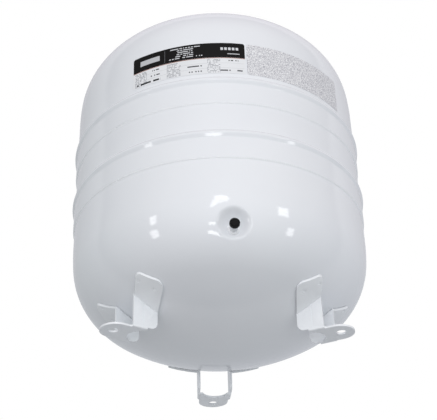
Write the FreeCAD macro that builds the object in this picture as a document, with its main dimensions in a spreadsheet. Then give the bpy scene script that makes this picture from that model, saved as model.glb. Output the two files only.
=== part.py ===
import FreeCAD, Part
import math
import os
import re
import Sketcher
from FreeCAD import Placement, Rotation, Vector

# Standing diaphragm expansion vessel, about 50 litres: two drawn shells with a rolled band between
# them, a rubber diaphragm clamped under the upper bead, a gas valve in a dished pocket at the front,
# a male thread on top and three bent sheet feet.
# Frame: +Z up, the vessel's axis is Z, the floor is z = 0, and the valve faces -Y.

os.makedirs("parts", exist_ok=True)
doc = FreeCAD.newDocument("ExpansionVessel")

SIZES = {
    # shells: outer radius of the wall, sheet, and the three arcs of the pressed end
    "wallRadius": 199.5,
    "sheetThickness": 1.5,
    "shoulderRadius": 295,
    "shoulderAngle": 5.5,
    "knuckleRadius": 95,
    "knuckleAngle": 58.5,
    "footClearance": 5,
    # straight walls, from edge to edge of the two lapped seams
    "lowerWall": 31,
    "bandPitch": 83.7,
    "upperWall": 90.8,
    # a seam: the upper piece swells into a bead and ends in a skirt over the piece below
    "skirtHeight": 22,
    "lapHeight": 21.5,
    "lapClearance": 0.1,
    "beadHeight": 20.5,
    "beadCrestHeight": 13,
    "beadProud": 4,
    "beadFillet": 4,
    "skirtFillet": 12,
    "seamWeldLeg": 1.3,
    # water connection, G 3/4 male
    "threadRadius": 13.2,
    "threadRelief": 0.6,
    "threadLength": 17,
    "portRadius": 10,
    "portHeight": 22,
    "portWeldLeg": 3,
    "portChamfer": 1.2,
    # diaphragm
    "rubberThickness": 2.5,
    "rubberGap": 0.5,
    "rimDepth": 7.5,
    "rimDrop": 7.5,
    "rimGap": 0.3,
    "crownRadius": 60,
    "clampThickness": 1.5,
    "clampRise": 1,
    "clampHeight": 24,
    # gas valve, measured outwards along its own axis
    "dishHeight": 91,
    "dishRadius": 20,
    "dishDepth": 9,
    "dishRimRadius": 12,
    "valveHeight": 87,
    "stubRadius": 5.15,
    "stubBore": 3.95,
    "stubLength": 12.25,
    "stubInside": 3,
    "stubFit": 0.1,
    "stubChamfer": 0.6,
    "stubWeldLeg": 2.4,
    "stubWeldSink": 0.8,
    "stemRadius": 3.85,
    "stemReach": 3.9,
    "stemHeadThickness": 1.6,
    "stemChamfer": 0.5,
    "coreBore": 2.65,
    "seatBore": 2,
    "coreSeatDepth": 12.4,
    "gasketThickness": 0.8,
    "coreLength": 8.4,
    "coreFit": 0.05,
    "coreWell": 1.95,
    "bridgeThickness": 2.2,
    "pinRadius": 0.6,
    "pinFit": 0.08,
    "pinBelowEnd": 0.8,
    "pinPoint": 0.25,
    "springRadius": 1.3,
    "springWire": 0.15,
    "springTurns": 5,
    "collarThickness": 0.8,
    "collarDepth": 0.6,
    "collarGap": 0.15,
    "sealRadius": 1.6,
    "sealThickness": 1.1,
    "pinHeadThickness": 0.6,
    "pinHeadRadius": 1.1,
    "capRadius": 6.35,
    "capLength": 5.2,
    "capTop": 0.8,
    "capSealThickness": 0.8,
    "capThreadGap": 0.12,
    "capStep": 1.1,
    "capStepHeight": 0.9,
    "capChamfer": 0.25,
    # feet: a U of bent sheet whose ears are pressed to the curve of the end
    "footSheet": 2.5,
    "footInset": 36.5,
    "footLeftAngle": -150,
    "footRightAngle": -30,
    "footRearAngle": 90,
    "boltHoleRadius": 6.25,
    "tongueHalfWidth": 20.5,
    "tongueBack": 4,
    "legHalfSpan": 23.5,
    "legInnerBack": 49,
    "legOuterBack": 15,
    "footNotch": 13.5,
    "notchHalfWidth": 17,
    "notchBack": 35,
    "bendOutside": 2.2,
    "creaseBack": 28.5,
    "creaseWidth": 0.9,
    "creaseDepth": 0.4,
    "creaseFoot": 5,
    "legCornerRadius": 9,
    "tongueStep": 1.5,
    "earGap": 0.5,
    "earOuterBack": 0.5,
    "earOuterAcross": 51,
    "earInnerBack": 30,
    "earInnerAcross": 69,
    "earCornerRadius": 8,
    "nuggetRadius": 2.5,
    "outerWeldBack": 9.5,
    "outerWeldAcross": 44,
    "innerWeldBack": 28,
    "innerWeldAcross": 51,
    "dimpleRadius": 2,
    "dimpleDepth": 0.6,
    # labels on the upper shell
    "labelThickness": 0.2,
    "labelGap": 0.1,
    "labelHeight": 51,
    "labelRise": 4.5,
    "labelOffset": -131.6,
    "labelWidth": 153.9,
    "labelSpacing": 2.4,
    "panelWidth": 154.6,
}

sizes = doc.addObject("Spreadsheet::Sheet", "Sizes")
for row, (alias, number) in enumerate(SIZES.items(), 1):
    sizes.set(f"A{row}", alias)
    sizes.set(f"B{row}", str(number))
    sizes.setAlias(f"B{row}", alias)

# Heights and radii that follow from the sizes above, all from the floor or from the axis.
FOLLOWING = {
    "shoulderEnd": "wallRadius - shoulderRadius * (1 - cos(shoulderAngle))",
    "shoulderRise": "shoulderRadius * sin(shoulderAngle)",
    "knuckleEnd": "shoulderEnd - knuckleRadius * (cos(shoulderAngle) - cos(knuckleAngle))",
    "knuckleRise": "shoulderRise + knuckleRadius * (sin(knuckleAngle) - sin(shoulderAngle))",
    "domeRadius": "knuckleEnd / cos(knuckleAngle)",
    "domeDepth": "knuckleRise + domeRadius * (1 - sin(knuckleAngle))",
    "lowerTangent": "footClearance + domeDepth",
    "lowerSeam": "lowerTangent + lowerWall",
    "upperSeam": "lowerSeam + bandPitch",
    "upperTangent": "upperSeam + upperWall",
    "vesselTop": "upperTangent + domeDepth",
    "beadFall": "beadHeight - beadCrestHeight",
    "beadSwell": "beadProud - lapClearance - sheetThickness",
    "dishTilt": "asin((lowerTangent - dishHeight - shoulderRise) / knuckleRadius + sin(shoulderAngle))",
    "dishSphere": "(dishRadius ^ 2 + dishDepth ^ 2) / (2 * dishDepth)",
    "dishOut": "shoulderEnd - knuckleRadius * (cos(shoulderAngle) - cos(dishTilt))"
               " + (dishSphere - dishDepth) * cos(dishTilt)",
    "dishUp": "dishHeight - (dishSphere - dishDepth) * sin(dishTilt)",
    "stubBase": "dishOut - sqrt(dishSphere ^ 2 - (valveHeight - dishUp) ^ 2)",
    "stubEnd": "stubBase + stubLength",
    "stemEnd": "stubEnd + stemReach",
    "footPitchRadius": "wallRadius - footInset",
    "tongueEndCentre": "footPitchRadius - tongueBack",
    "legOuter": "footPitchRadius - legOuterBack",
    "legInner": "footPitchRadius - legInnerBack",
    "notchInner": "footPitchRadius - notchBack",
    "legTop": "footClearance + domeRadius + footSheet"
              " - sqrt(domeRadius ^ 2 - legOuter ^ 2 - legHalfSpan ^ 2)",
    "labelStart": "labelOffset / wallRadius * 180 / pi",
    "labelAngle": "labelWidth / wallRadius * 180 / pi",
    "panelStart": "labelStart + labelAngle + labelSpacing / wallRadius * 180 / pi",
    "panelAngle": "panelWidth / wallRadius * 180 / pi",
}
levels = doc.addObject("Spreadsheet::Sheet", "Levels")


def linked(text, own=""):
    """The text with every name turned into a reference to the sheet that holds it."""
    def reference(found):
        word = found.group()
        if word in SIZES:
            return "Sizes." + word
        return own + word if word in FOLLOWING else word
    return re.sub("[A-Za-z]+", reference, text)


for row, (alias, formula) in enumerate(FOLLOWING.items(), 1):
    levels.set(f"A{row}", alias)
    levels.set(f"B{row}", "=" + linked(formula))
    levels.setAlias(f"B{row}", alias)
doc.recompute()


def size(text):
    """The number that an expression of named sizes comes to."""
    found = levels.evalExpression(linked(text))
    return float(getattr(found, "Value", found))


def outline(owner, name, corners, arcs=None, circles=()):
    """A closed sketch through corners (pairs of expressions). arcs gives, by the number of its
    first corner, a run's radius: above zero it bulges to the left of the run, below to the right."""
    arcs = arcs or {}
    if isinstance(owner, str):
        sketch = doc.addObject("Sketcher::SketchObject", name)
        sketch.Placement = Placement(Vector(0, 0, 0), Rotation(Vector(1, 0, 0), 90))
    else:
        sketch = owner.newObject("Sketcher::SketchObject", name)
    points = [Vector(size(across), size(up), 0) for across, up in corners]
    ends = []
    for i, start in enumerate(points):
        end = points[(i + 1) % len(points)]
        if i not in arcs:
            ends.append((sketch.addGeometry(Part.LineSegment(start, end)), 1, 2))
            continue
        signed = size(arcs[i])
        radius = abs(signed)
        chord = end - start
        left = Vector(-chord.y, chord.x, 0).normalize()
        centre = (start + end) * 0.5 + left * math.copysign(
            math.sqrt(max(radius ** 2 - chord.Length ** 2 / 4, 0)), -signed)
        first, last = (start, end) if signed < 0 else (end, start)
        angles = [math.atan2(p.y - centre.y, p.x - centre.x) for p in (first, last)]
        circle = Part.Circle(centre, Vector(0, 0, 1), radius)
        index = sketch.addGeometry(Part.ArcOfCircle(circle, angles[0], angles[1]))
        ends.append((index, 1, 2) if signed < 0 else (index, 2, 1))
    bound = []
    for i, (index, first, last) in enumerate(ends):
        following, begin, _ = ends[(i + 1) % len(ends)]
        sketch.addConstraint(Sketcher.Constraint("Coincident", index, last, following, begin))
        for axis, kind, text in ((-2, "DistanceX", corners[i][0]), (-1, "DistanceY", corners[i][1])):
            if text == "0":
                sketch.addConstraint(Sketcher.Constraint("PointOnObject", index, first, axis))
                continue
            number = sketch.addConstraint(
                Sketcher.Constraint(kind, -1, 1, index, first, size(text)))
            bound.append((number, linked(text, "Levels.")))
        if i in arcs:
            number = sketch.addConstraint(Sketcher.Constraint("Radius", index, abs(size(arcs[i]))))
            bound.append((number, f"abs({linked(arcs[i], 'Levels.')})"))
    for across, up, radius in circles:
        centre = Vector(size(across), size(up), 0)
        index = sketch.addGeometry(Part.Circle(centre, Vector(0, 0, 1), size(radius)))
        for kind, text in (("DistanceX", across), ("DistanceY", up)):
            if text == "0":
                sketch.addConstraint(Sketcher.Constraint("PointOnObject", index, 3, -1))
                continue
            number = sketch.addConstraint(Sketcher.Constraint(kind, -1, 1, index, 3, size(text)))
            bound.append((number, linked(text, "Levels.")))
        number = sketch.addConstraint(Sketcher.Constraint("Radius", index, size(radius)))
        bound.append((number, linked(radius, "Levels.")))
    for number, text in bound:
        sketch.setExpression(f"Constraints[{number}]", text)
    return sketch


def revolved(name, corners, arcs=None, valve=False, turn=None, start=None):
    """A body of its own: the outline of radius and height, turned about the axis."""
    body = doc.addObject("PartDesign::Body", name)
    body.Label = name
    sketch = outline(body, name + "_outline", corners, arcs)
    plane = next(p for p in body.Origin.OriginFeatures if p.Role == "XZ_Plane")
    sketch.AttachmentSupport = [(plane, "")]
    sketch.MapMode = "FlatFace"
    turned = body.newObject("PartDesign::Revolution", name + "_turned")
    turned.Profile = sketch
    turned.ReferenceAxis = (sketch, ["V_Axis"])
    if turn:
        turned.setExpression("Angle", linked(turn, "Levels."))
        body.Placement = Placement(Vector(0, 0, 0), Rotation(Vector(0, 0, 1), 1))
        body.setExpression("Placement.Rotation.Angle", linked(start, "Levels.") + " - 90")
    if valve:
        body.Placement = Placement(Vector(0, 0, 0), Rotation(Vector(1, 0, 0), 90))
        body.setExpression("Placement.Base.z", "Sizes.valveHeight")
    body.Tip = turned
    return body


def turned_solid(name, corners, arcs):
    """A plain solid of revolution outside any body, for the booleans."""
    solid = doc.addObject("Part::Revolution", name)
    solid.Source = outline("document", name + "_outline", corners, arcs)
    solid.Axis = Vector(0, 0, 1)
    solid.Angle = 360
    solid.Solid = True
    return solid


def bead_side(seam, depth):
    """One side of a seam from its edge up to the wall: skirt, bead and the two blends.
    depth is how far the side lies inside the outer one, along the sheet's normal."""
    crest = f"{seam} + skirtHeight + beadCrestHeight"
    skirt = "(wallRadius + lapClearance + sheetThickness)"
    lower = "(beadCrestHeight ^ 2 + beadSwell ^ 2) / (2 * beadSwell)"
    upper = "(beadFall ^ 2 + beadProud ^ 2) / (2 * beadProud)"
    swell = f"({lower} - skirtFillet)"
    fall = f"({upper} - beadFillet)"
    middle = "(wallRadius + beadProud)"
    corners = [
        (f"{skirt} - {depth}", seam),
        (f"{skirt} - {depth}", f"{seam} + skirtHeight"),
        (f"{middle} - {swell} + ({skirt} + skirtFillet - {middle} + {swell})"
         f" * ({swell} - {depth}) / ({lower})",
         f"{crest} - beadCrestHeight * ({swell} - {depth}) / ({lower})"),
        (f"{middle} - {depth}", crest),
        (f"{middle} - {fall} + (beadFillet - beadProud + {fall}) * ({fall} - {depth}) / ({upper})",
         f"{crest} + beadFall * ({fall} - {depth}) / ({upper})"),
        (f"wallRadius - {depth}", f"{seam} + skirtHeight + beadHeight"),
    ]
    arcs = {1: f"skirtFillet + {depth}", 2: f"-({swell} - {depth})", 3: f"-({fall} - {depth})",
            4: f"beadFillet + {depth}"}
    return corners, arcs


def dome_side(tangent, way, depth, stop="0"):
    """One side of a pressed end from the wall to the axis, or to the radius stop.
    way is + for the top and - for the bottom."""
    centre = f"{tangent} {way} (knuckleRise - domeRadius * sin(knuckleAngle))"
    top = f"{tangent} {way} (domeDepth - {depth})"
    if stop != "0":
        top = f"{centre} {way} sqrt((domeRadius - {depth}) ^ 2 - ({stop}) ^ 2)"
    corners = [
        (f"wallRadius - {depth}", tangent),
        (f"shoulderEnd - {depth} * cos(shoulderAngle)",
         f"{tangent} {way} (shoulderRise - {depth} * sin(shoulderAngle))"),
        (f"knuckleEnd - {depth} * cos(knuckleAngle)",
         f"{tangent} {way} (knuckleRise - {depth} * sin(knuckleAngle))"),
        (stop, top),
    ]
    outward = "-" if way == "+" else ""
    radii = ("shoulderRadius", "knuckleRadius", "domeRadius")
    return corners, {i: f"{outward}({radius} - {depth})" for i, radius in enumerate(radii)}


def joined(*sides):
    """Runs of corners end to end; a side marked back is followed the other way round."""
    corners, arcs = [], {}
    for (points, bends), back in sides:
        if back:
            count = len(points)
            points = points[::-1]
            bends = {count - 2 - i: f"-({radius})" for i, radius in bends.items()}
        arcs.update({len(corners) + i: radius for i, radius in bends.items()})
        corners += points
    return corners, arcs


def block(points):
    """Plain corners with no arcs, in the form that joined takes."""
    return points, {}


# --- shells -------------------------------------------------------------------------------------
portHole = "threadRadius - threadRelief"
revolved("upper_shell", *joined(
    (bead_side("upperSeam", "0"), False),
    (dome_side("upperTangent", "+", "0", portHole), False),
    (dome_side("upperTangent", "+", "sheetThickness", portHole), True),
    (bead_side("upperSeam", "sheetThickness"), True)))

bandRim = "upperSeam + lapHeight"
revolved("middle_band", *joined(
    (bead_side("lowerSeam", "0"), False),
    (block([("wallRadius", bandRim), ("wallRadius - sheetThickness", bandRim)]), False),
    (bead_side("lowerSeam", "sheetThickness"), True)))

shellRim = "lowerSeam + lapHeight"


def grown_end(name, depth):
    """The lower shell's outer form as a full solid; a depth below zero grows it."""
    return turned_solid(name, *joined(
        (dome_side("lowerTangent", "-", depth), True),
        (block([(f"wallRadius - {depth}", shellRim), ("0", shellRim)]), False)))


outerForm = grown_end("lower_outer_form", "0")
hollowForm = turned_solid("lower_hollow_form", *joined(
    (dome_side("lowerTangent", "-", "sheetThickness"), True),
    (block([("wallRadius - sheetThickness", shellRim + " + sheetThickness"),
            ("0", shellRim + " + sheetThickness")]), False)))


def dish(name, grow):
    """The ball that presses the valve's pocket, grown by a wall."""
    ball = doc.addObject("Part::Sphere", name)
    ball.setExpression("Radius", f"Levels.dishSphere + {grow}")
    ball.setExpression("Placement.Base.y", "-Levels.dishOut")
    ball.setExpression("Placement.Base.z", "Levels.dishUp")
    return ball


def cut(name, base, tool):
    result = doc.addObject("Part::Cut", name)
    result.Base = base
    result.Tool = tool
    return result


def dished(name, form, ball, rimRadius):
    """The form with the valve's pocket pressed in and the pocket's rim rounded."""
    sharp = cut(name + "_dished", form, ball)
    doc.recompute()
    rim = [i for i, edge in enumerate(sharp.Shape.Edges, 1)
           if edge.isClosed() and edge.BoundBox.YMax < 0
           and edge.BoundBox.XMax < size("2 * dishRadius")]
    soft = doc.addObject("Part::Fillet", name + "_softened")
    soft.Base = sharp
    soft.Edges = [(number, size(rimRadius), size(rimRadius)) for number in rim]
    return soft


outside = dished("lower_outer_form", outerForm, dish("dish_outside", "0"), "dishRimRadius")
inside = dished("lower_hollow_form", hollowForm, dish("dish_inside", "Sizes.sheetThickness"),
                "dishRimRadius - sheetThickness")
walled = cut("lower_walled_form", outside, inside)
valveHole = doc.addObject("Part::Cylinder", "valve_hole")
valveHole.Placement = Placement(Vector(0, 0, 0), Rotation(Vector(1, 0, 0), 90))
valveHole.setExpression("Placement.Base.z", "Sizes.valveHeight")
valveHole.setExpression("Radius", "Sizes.stubRadius + Sizes.stubFit")
valveHole.setExpression("Height", "Sizes.wallRadius")
lowerShell = cut("lower_shell", walled, valveHole)
lowerShell.Label = "lower_shell"

# --- seam welds: a small fillet of weld under each skirt ------------------------------------------
for name, seam in (("upper_seam_weld", "upperSeam"), ("lower_seam_weld", "lowerSeam")):
    revolved(name, [("wallRadius", f"{seam} - seamWeldLeg"), ("wallRadius + seamWeldLeg", seam),
                    ("wallRadius", seam)])

# --- water connection -----------------------------------------------------------------------------
crownCentre = "upperTangent + knuckleRise - domeRadius * sin(knuckleAngle)"
shankRadius = "threadRadius - threadRelief"
portFoot = f"({crownCentre} + sqrt(domeRadius ^ 2 - ({shankRadius}) ^ 2))"
portTop = "vesselTop + portHeight"
threadFoot = f"{portTop} - threadLength"
revolved("water_connection", [
    ("portRadius", f"{portFoot} - sheetThickness"), (shankRadius, f"{portFoot} - sheetThickness"),
    (shankRadius, threadFoot), ("threadRadius", threadFoot),
    ("threadRadius", f"{portTop} - portChamfer"), ("threadRadius - portChamfer", portTop),
    ("portRadius", portTop)])
weldOut = f"{shankRadius} + portWeldLeg"
revolved("connection_weld", [
    (shankRadius, portFoot), (weldOut, f"{crownCentre} + sqrt(domeRadius ^ 2 - ({weldOut}) ^ 2)"),
    (shankRadius, f"{portFoot} + portWeldLeg")], {0: "domeRadius"})

# --- diaphragm: a rim held in the hollow of the upper bead, a wall along the upper shell, a crown ---
rimLow = "upperSeam + lapHeight - rimDrop"
rimTop = "upperSeam + skirtHeight + beadHeight"
rimIn = "wallRadius - rimDepth"
rimOut = "wallRadius - sheetThickness - rimGap"
hollowSide, hollowArcs = bead_side("upperSeam", "(sheetThickness + rimGap)")
revolved("diaphragm_rim", *joined(
    (block([(rimIn, rimLow), (rimOut, rimLow), (rimOut, bandRim),
            (hollowSide[0][0], bandRim)]), False),
    ((hollowSide[1:], {i - 1: radius for i, radius in hollowArcs.items()}), False),
    (block([(rimIn, rimTop)]), False)))

outerRubber = "(sheetThickness + rubberGap)"
innerRubber = "(sheetThickness + rubberGap + rubberThickness)"
revolved("diaphragm_wall", *joined(
    (block([(f"wallRadius - {outerRubber}", rimTop)]), False),
    (dome_side("upperTangent", "+", outerRubber, "crownRadius"), False),
    (dome_side("upperTangent", "+", innerRubber, "crownRadius"), True),
    (block([(f"wallRadius - {innerRubber}", rimTop)]), False)))

crownRise = {depth: f"{crownCentre} + sqrt((domeRadius - {depth}) ^ 2 - crownRadius ^ 2)"
             for depth in (outerRubber, innerRubber)}
revolved("diaphragm_crown", [
    ("0", f"{crownCentre} + domeRadius - {innerRubber}"), ("crownRadius", crownRise[innerRubber]),
    ("crownRadius", crownRise[outerRubber]), ("0", f"{crownCentre} + domeRadius - {outerRubber}"),
], {0: f"domeRadius - {innerRubber}", 2: f"-(domeRadius - {outerRubber})"})

clampLow = f"{rimLow} + clampRise"
revolved("diaphragm_clamp_ring", [
    (f"{rimIn} - clampThickness", clampLow), (rimIn, clampLow), (rimIn, f"{clampLow} + clampHeight"),
    (f"{rimIn} - clampThickness", f"{clampLow} + clampHeight")])

# --- gas valve: radius and distance out along the valve's axis ------------------------------------
stubLow = "stubBase - sheetThickness - stubInside"
revolved("valve_stub", [
    ("stubBore", stubLow), ("stubRadius", stubLow), ("stubRadius", "stubEnd - stubChamfer"),
    ("stubRadius - stubChamfer", "stubEnd"), ("stubBore", "stubEnd")], valve=True)

weldRing = turned_solid("stub_weld_ring", [
    ("stubRadius", "stubBase - stubWeldSink"),
    ("stubRadius + stubWeldLeg + stubWeldSink", "stubBase - stubWeldSink"),
    ("stubRadius", "stubBase + stubWeldLeg")], {})
weldRing.Placement = Placement(Vector(0, 0, 0), Rotation(Vector(1, 0, 0), 90))
weldRing.setExpression("Placement.Base.z", "Sizes.valveHeight")
cut("valve_stub_weld", weldRing, lowerShell).Label = "valve_stub_weld"

coreSeat = "stemEnd - coreSeatDepth"
headFit = "stubRadius - stubFit"
revolved("valve_stem", [
    ("seatBore", f"{stubLow} - stemHeadThickness"), (headFit, f"{stubLow} - stemHeadThickness"),
    (headFit, stubLow), ("stemRadius", stubLow), ("stemRadius", "stemEnd - stemChamfer"),
    ("stemRadius - stemChamfer", "stemEnd"), ("coreBore", "stemEnd"), ("coreBore", coreSeat),
    ("seatBore", coreSeat)], valve=True)

coreLow = f"{coreSeat} + gasketThickness"
coreTop = f"{coreLow} + coreLength"
coreOut = "coreBore - coreFit"
pinWay = "pinRadius + pinFit"
revolved("valve_core_gasket", [
    ("seatBore", coreSeat), (coreOut, coreSeat), (coreOut, coreLow), ("seatBore", coreLow)], valve=True)
revolved("valve_core_body", [
    (pinWay, coreLow), (coreOut, coreLow), (coreOut, coreTop), ("coreWell", coreTop),
    ("coreWell", f"{coreLow} + bridgeThickness"), (pinWay, f"{coreLow} + bridgeThickness")], valve=True)

collarTop = f"{coreTop} - collarDepth"
collarLow = f"{collarTop} - collarThickness"
collarOut = "coreWell - collarGap"
headTop = f"{coreLow} - sealThickness"
headLow = f"{headTop} - pinHeadThickness"
pinTip = "stemEnd - pinBelowEnd"
revolved("valve_core_pin", [
    ("0", headLow), ("pinHeadRadius", headLow), ("pinHeadRadius", headTop), ("pinRadius", headTop),
    ("pinRadius", collarLow), (collarOut, collarLow), (collarOut, collarTop), ("pinRadius", collarTop),
    ("pinRadius", f"{pinTip} - pinPoint"), ("pinRadius - pinPoint", pinTip), ("0", pinTip)], valve=True)
revolved("valve_core_seal", [
    ("pinRadius", headTop), ("sealRadius", headTop), ("sealRadius", coreLow), ("pinRadius", coreLow)],
    valve=True)

springLow = size(f"{coreLow} + bridgeThickness + springWire")
springTop = size(f"{collarLow} - springWire")
atValve = Placement(Vector(0, 0, size("valveHeight")), Rotation(Vector(1, 0, 0), 90))
coil = doc.addObject("Part::Helix", "spring_coil")
coil.Radius = size("springRadius")
coil.Height = springTop - springLow
coil.Pitch = coil.Height / size("springTurns")
coil.Placement = atValve * Placement(Vector(0, 0, springLow), Rotation())
wire = doc.addObject("Part::RegularPolygon", "spring_wire")
wire.Polygon = 6
wire.setExpression("Circumradius", "Sizes.springWire")
wire.Placement = atValve * Placement(
    Vector(size("springRadius"), 0, springLow), Rotation(Vector(1, 0, 0), 90))
spring = doc.addObject("Part::Sweep", "valve_core_spring")
spring.Label = "valve_core_spring"
spring.Sections = [wire]
spring.Spine = (coil, ["Edge1"])
spring.Solid = True
spring.Frenet = True

capIn = "stemEnd + capSealThickness"
capEnd = f"{capIn} + capTop"
capBore = "stemRadius + capThreadGap"
stepRadius = "capRadius - capStep"
revolved("valve_cap", [
    (capBore, f"{capEnd} - capLength"), ("capRadius", f"{capEnd} - capLength"),
    ("capRadius", f"{capEnd} - capStepHeight"), (stepRadius, f"{capEnd} - capStepHeight"),
    (stepRadius, f"{capEnd} - capChamfer"), (f"{stepRadius} - capChamfer", capEnd), ("0", capEnd),
    ("0", capIn), (capBore, capIn)], valve=True)
revolved("valve_cap_seal", [
    ("0", "stemEnd"), ("stemRadius", "stemEnd"), ("stemRadius", capIn), ("0", capIn)], valve=True)

# --- feet -----------------------------------------------------------------------------------------
FEET = {"foot_left": "footLeftAngle", "foot_right": "footRightAngle", "foot_rear": "footRearAngle"}
earBackForm = grown_end("ear_back_form", "(-earGap)")
earSheet = cut("ear_sheet", grown_end("ear_front_form", "(-earGap - footSheet)"), earBackForm)
weldGap = cut("weld_gap", earBackForm, outerForm)


def on_plane(body, role, offset, name, corners, arcs=None, circles=()):
    """A sketch on one of the body's own planes, moved by an offset from it."""
    sketch = outline(body, name, corners, arcs, circles)
    plane = next(p for p in body.Origin.OriginFeatures if p.Role == role)
    sketch.AttachmentSupport = [(plane, "")]
    sketch.MapMode = "FlatFace"
    sketch.AttachmentOffset = offset
    return sketch


def padded(body, sketch, length="footSheet"):
    pad = body.newObject("PartDesign::Pad", sketch.Name + "_pad")
    pad.Profile = sketch
    pad.setExpression("Length", linked(length, "Levels."))
    body.Tip = pad


def rounded(body, name, radius, spots):
    """Fillet the edges of the body's tip whose middles lie at the given points."""
    doc.recompute()
    base = body.Tip
    names = []
    for i, edge in enumerate(base.Shape.Edges, 1):
        middle = edge.valueAt((edge.FirstParameter + edge.LastParameter) / 2)
        if any(middle.distanceToPoint(spot) < size("footSheet / 3") for spot in spots):
            names.append(f"Edge{i}")
    fillet = body.newObject("PartDesign::Fillet", f"{body.Name}_{name}")
    fillet.Base = (base, names)
    fillet.setExpression("Radius", "Sizes." + radius)
    body.Tip = fillet
    doc.recompute()


def facing(turn):
    """The turn about the vessel's axis from +X to the foot's own direction."""
    return Placement(Vector(0, 0, 0), Rotation(Vector(0, 0, 1), size(turn)))


def weld_pin(name, radius, low, high, spot):
    """A round pin square to the pressed end, between two distances from the curve's centre."""
    pin = doc.addObject("Part::Cylinder", name)
    pin.setExpression("Radius", "Sizes." + radius)
    pin.setExpression("Height", linked(f"{high} - ({low})", "Levels."))
    radial, across = (size(text) for text in spot)
    fall = math.sqrt(size("domeRadius") ** 2 - radial ** 2 - across ** 2)
    outward = Vector(radial, across, -fall).normalize()
    start = Vector(0, 0, size("footClearance + domeRadius")) + outward * size(low)
    pin.Placement = facing(turn) * Placement(start, Rotation(Vector(0, 0, 1), outward))
    return pin


def boolean(kind, name, *pieces):
    result = doc.addObject(f"Part::{kind}", name)
    if kind == "Common":
        result.Base, result.Tool = pieces
    else:
        result.Shapes = pieces
    return result


legFace = "legHalfSpan - footSheet"
tongueFace = "legOuter + tongueStep"
basePlate = [
    ("notchInner", "-legHalfSpan"), ("legOuter", "-legHalfSpan"), (tongueFace, "-tongueHalfWidth"),
    ("tongueEndCentre", "-tongueHalfWidth"), ("tongueEndCentre + tongueHalfWidth", "0"),
    ("tongueEndCentre", "tongueHalfWidth"), (tongueFace, "tongueHalfWidth"),
    ("legOuter", "legHalfSpan"), ("notchInner", "legHalfSpan"), ("notchInner", "notchHalfWidth"),
    ("notchInner", "-notchHalfWidth")]
baseArcs = {3: "-tongueHalfWidth", 4: "-tongueHalfWidth",
            9: "(notchHalfWidth ^ 2 + footNotch ^ 2) / (2 * footNotch)"}
legSide = [
    ("legOuter", "0"), ("legOuter", "legTop"), ("legInner", "legTop"),
    ("legInner", "footSheet + legCornerRadius"), ("legInner + legCornerRadius", "footSheet"),
    ("notchInner", "footSheet"), ("notchInner", "0")]
creaseOuter = "footPitchRadius - creaseBack"
creaseInner = f"{creaseOuter} - creaseWidth"
creaseLine = [(creaseInner, "creaseFoot"), (creaseOuter, "creaseFoot"), (creaseOuter, "legTop"),
              (creaseInner, "legTop")]
nuggets = []
for footName, turn in FEET.items():
    strip = doc.addObject("PartDesign::Body", footName + "_strip")
    padded(strip, on_plane(strip, "XY_Plane", Placement(), footName + "_base", basePlate, baseArcs,
                           [("footPitchRadius", "0", "boltHoleRadius")]))
    ears, dimples = [], []
    for side, hand in ((1, "a"), (-1, "b")):
        face = size("legHalfSpan") if side > 0 else -size(legFace)
        padded(strip, on_plane(strip, "XZ_Plane", Placement(Vector(0, 0, -face), Rotation()),
                               f"{footName}_leg_{hand}", legSide, {3: "-legCornerRadius"}))
        outside = Placement(Vector(0, 0, -side * size("legHalfSpan")), Rotation())
        crease = strip.newObject("PartDesign::Pocket", f"{footName}_crease_{hand}")
        crease.Profile = on_plane(strip, "XZ_Plane", outside, f"{footName}_crease_line_{hand}", creaseLine)
        crease.setExpression("Length", "Sizes.creaseDepth")
        crease.Reversed = side > 0
        strip.Tip = crease
        corners = [("footPitchRadius - earOuterBack", f"{side} * earOuterAcross"),
                   ("footPitchRadius - earInnerBack", f"{side} * earInnerAcross")]
        blank = doc.addObject("PartDesign::Body", f"{footName}_blank_{hand}")
        padded(blank, on_plane(blank, "XY_Plane", Placement(), f"{footName}_ear_{hand}", [
            ("legInner", f"{side} * ({legFace})"), ("legOuter", f"{side} * ({legFace})"),
            ("legOuter", f"{side} * legHalfSpan"), *corners,
            ("legInner", f"{side} * legHalfSpan")]), "lowerTangent")
        rounded(blank, "corners", "earCornerRadius",
                [Vector(size(radial), size(across), size("lowerTangent / 2")) for radial, across in corners])
        blank.Placement = facing(turn)
        ears.append(boolean("Common", f"{footName}_ear_sheet_{hand}", earSheet, blank))
        for weld in ("outerWeld", "innerWeld"):
            spot = (f"footPitchRadius - {weld}Back", f"{side} * {weld}Across")
            nuggets.append(weld_pin("weld_nugget", "nuggetRadius", "domeRadius - sheetThickness",
                                    "domeRadius + footSheet", spot))
            faceOut = "domeRadius + earGap + footSheet"
            dimples.append(weld_pin("weld_dimple", "dimpleRadius", f"{faceOut} - dimpleDepth",
                                    f"{faceOut} + dimpleDepth", spot))
    foldMiddle = size("(notchInner + legOuter) / 2")
    rounded(strip, "folds", "bendOutside",
            [Vector(foldMiddle, side * size("legHalfSpan"), 0) for side in (1, -1)])
    strip.Placement = facing(turn)
    whole = boolean("MultiFuse", footName + "_whole", cut(footName + "_legs", strip, earBackForm), *ears)
    punches = doc.addObject("Part::Compound", footName + "_dimples")
    punches.Links = dimples
    cut(footName, whole, punches).Label = footName

pins = doc.addObject("Part::Compound", "weld_pins")
pins.Links = nuggets
boolean("Common", "foot_weld_nuggets", pins, weldGap).Label = "foot_weld_nuggets"

# --- labels on the upper shell --------------------------------------------------------------------
labelLow = f"{rimTop} + labelRise"
labelIn = "wallRadius + labelGap"
for name, start, turn in (("data_label", "labelStart", "labelAngle"),
                          ("grained_panel", "panelStart", "panelAngle")):
    revolved(name, [
        (labelIn, labelLow), (f"{labelIn} + labelThickness", labelLow),
        (f"{labelIn} + labelThickness", f"{labelLow} + labelHeight"),
        (labelIn, f"{labelLow} + labelHeight")], turn=turn, start=start)

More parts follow.
